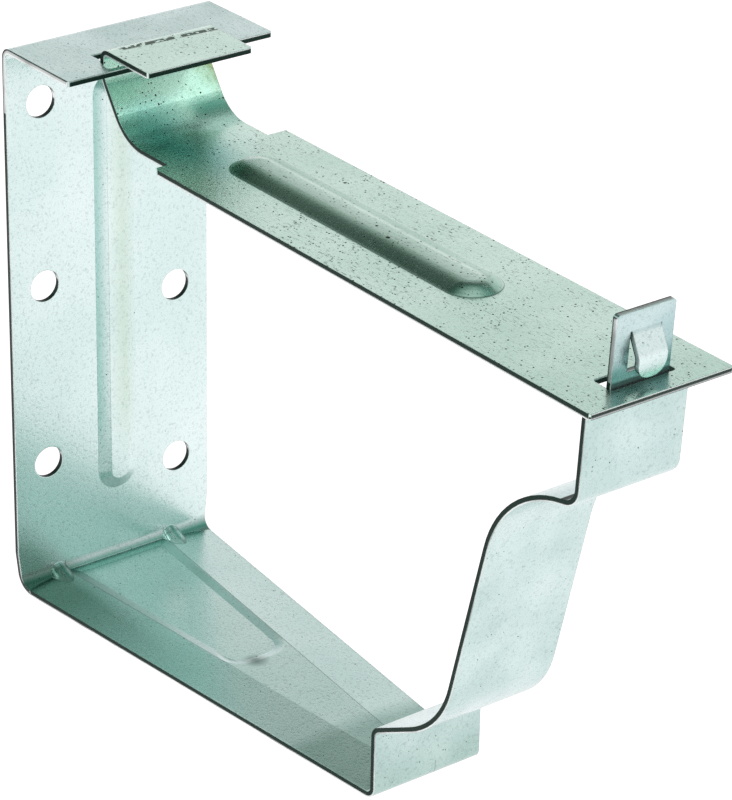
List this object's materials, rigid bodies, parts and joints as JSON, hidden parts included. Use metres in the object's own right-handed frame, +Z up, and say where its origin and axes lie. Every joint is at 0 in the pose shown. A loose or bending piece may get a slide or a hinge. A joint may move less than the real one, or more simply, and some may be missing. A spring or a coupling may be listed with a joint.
{
  "type": "gutter bracket",
  "caption": "Hidden gutter bracket: a folded steel cradle screwed to the fascia carries an ogee-front gutter, and a hooked strap crosses its top and locks over a tab at the front lip.",
  "frame": {"origin": "on the rear face of the back plate, on its centre line, 10 mm above the underside of the bracket", "axes": "+X out from the wall towards the gutter's front, +Y across the bracket, +Z up"},
  "size_m": [0.1322, 0.0382, 0.0981],
  "materials": {
    "galvanised_steel": "bright galvanised"
  },
  "bodies": {
    "cradle": {"cradle": "galvanised_steel"},
    "strap": {"strap": "galvanised_steel"}
  },
  "joints": [
    {"name": "strap_swing", "type": "hinge", "parent": "cradle", "child": "strap", "pos_m": [0.01405, 0, 0.08575], "axis": [0, -1, 0], "range_deg": [0, 55]}
  ]
}
